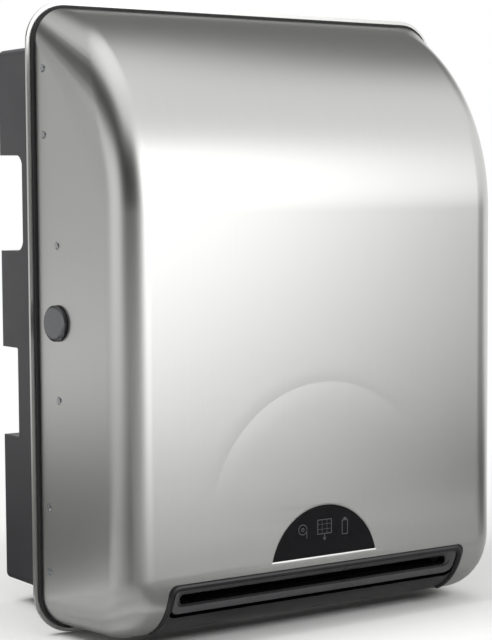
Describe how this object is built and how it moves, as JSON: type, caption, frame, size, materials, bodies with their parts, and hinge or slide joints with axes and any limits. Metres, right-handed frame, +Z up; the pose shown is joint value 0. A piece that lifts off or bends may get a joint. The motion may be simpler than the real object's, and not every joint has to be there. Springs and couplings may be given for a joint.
{
  "type": "recessed roll towel dispenser",
  "caption": "Recessed wall dispenser for roll towels with a curved steel cover on side hinges, a push lock, sprung roll hubs and a geared feed that pushes paper through a slot.",
  "frame": {"origin": "on the finished wall face, at the centre of the four wall screw holes", "axes": "+X along the wall to the viewer's right, +Y into the wall, +Z up"},
  "size_m": [0.338, 0.2036, 0.417],
  "materials": {
    "stainless_cover": "satin brushed",
    "stainless_frame": "satin",
    "plated_steel": "zinc plated",
    "rivet_steel": "satin",
    "blade_steel": "bright",
    "lock_metal": "dark satin",
    "black_plastic": "fine grain",
    "charcoal_plastic": "satin",
    "grey_plastic": "satin",
    "hub_plastic": "satin",
    "gear_plastic": "smooth",
    "button_plastic": "gloss",
    "smoked_window": "gloss",
    "led_resin": "clear",
    "circuit_board": "semi gloss",
    "cell_jacket": "gloss",
    "bronze": "sintered",
    "gasket_rubber": "matt",
    "roller_rubber": "matt"
  },
  "bodies": {
    "base": {"chassis_box": "black_plastic", "chassis_back": "black_plastic", "chassis_wing_left": "black_plastic", "chassis_wing_right": "black_plastic", "wall_frame": "stainless_frame", "frame_gasket": "gasket_rubber", "hinge_lugs": "plated_steel", "hinge_pins": "plated_steel", "latch_keeper": "plated_steel", "hub_axle_left": "plated_steel", "hub_axle_right": "plated_steel", "side_plate_left": "grey_plastic", "side_plate_right": "grey_plastic", "tie_rods": "plated_steel", "paper_chute": "charcoal_plastic", "front_panel": "grey_plastic", "tear_bar": "blade_steel", "drive_bushes": "bronze", "pinch_bushes": "bronze", "feed_motor": "plated_steel", "idler_axle": "plated_steel", "indicator_board": "circuit_board", "indicator_leds": "led_resin", "control_board": "circuit_board", "battery_case": "charcoal_plastic", "battery_cells": "cell_jacket", "battery_contacts": "plated_steel"},
    "cover": {"cover_shell": "stainless_cover", "chute_trim": "charcoal_plastic", "window_lens": "smoked_window", "lock_stiffener": "plated_steel", "lock_housing": "plated_steel", "hinge_leaves": "plated_steel", "rivets_left": "rivet_steel", "rivets_right": "rivet_steel"},
    "lock": {"lock_button": "lock_metal", "latch_hook": "plated_steel"},
    "hub_left": {"roll_hub_left": "hub_plastic"},
    "plunger": {"hub_plunger": "charcoal_plastic"},
    "hub_right": {"roll_hub_right": "hub_plastic"},
    "drive": {"drive_roller": "roller_rubber", "drive_shaft": "plated_steel", "drive_gear": "gear_plastic"},
    "pinch": {"pinch_roller": "hub_plastic", "pinch_shaft": "plated_steel"},
    "idler": {"idler_gear": "gear_plastic"},
    "pinion": {"motor_pinion": "bronze"},
    "door": {"battery_door": "grey_plastic"},
    "button": {"feed_button": "button_plastic"}
  },
  "joints": [
    {"name": "cover_hinge", "type": "hinge", "parent": "base", "child": "cover", "pos_m": [0.1655, -0.0085, 0], "axis": [0, 0, 1], "range_deg": [0, 95]},
    {"name": "lock_press", "type": "slide", "parent": "cover", "child": "lock", "axis": [0.9932, 0.1163, 0], "range_m": [0, 0.004], "stiffness_N_per_m": 800, "springref_m": -0.004},
    {"name": "hub_left_spin", "type": "hinge", "parent": "base", "child": "hub_left", "pos_m": [-0.105, 0.012, 0.075], "axis": [1, 0, 0], "continuous": true},
    {"name": "plunger_slide", "type": "slide", "parent": "base", "child": "plunger", "axis": [1, 0, 0], "range_m": [0, 0.008], "stiffness_N_per_m": 600, "springref_m": -0.006},
    {"name": "hub_right_spin", "type": "hinge", "parent": "plunger", "child": "hub_right", "pos_m": [0.105, 0.012, 0.075], "axis": [1, 0, 0], "continuous": true},
    {"name": "drive_spin", "type": "hinge", "parent": "base", "child": "drive", "pos_m": [0, -0.03, -0.1277], "axis": [1, 0, 0], "continuous": true},
    {"name": "pinch_spin", "type": "hinge", "parent": "base", "child": "pinch", "pos_m": [0, -0.05703, -0.1239], "axis": [1, 0, 0], "continuous": true},
    {"name": "idler_spin", "type": "hinge", "parent": "base", "child": "idler", "pos_m": [0.1185, -0.03, -0.0946], "axis": [1, 0, 0], "continuous": true},
    {"name": "pinion_spin", "type": "hinge", "parent": "base", "child": "pinion", "pos_m": [0.1185, -0.01299, -0.08841], "axis": [1, 0, 0], "continuous": true},
    {"name": "battery_door_hinge", "type": "hinge", "parent": "base", "child": "door", "pos_m": [0, 0.0985, -0.1464], "axis": [-1, 0, 0], "range_deg": [0, 90]},
    {"name": "feed_button_press", "type": "slide", "parent": "base", "child": "button", "axis": [0, 1, 0], "range_m": [0, 0.0025], "stiffness_N_per_m": 500, "springref_m": -0.002}
  ],
  "couplings": [
    {"joint": "pinch_spin", "follows": "drive_spin", "ratio": -1.7},
    {"joint": "idler_spin", "follows": "drive_spin", "ratio": -1.75},
    {"joint": "pinion_spin", "follows": "drive_spin", "ratio": 3.5}
  ]
}
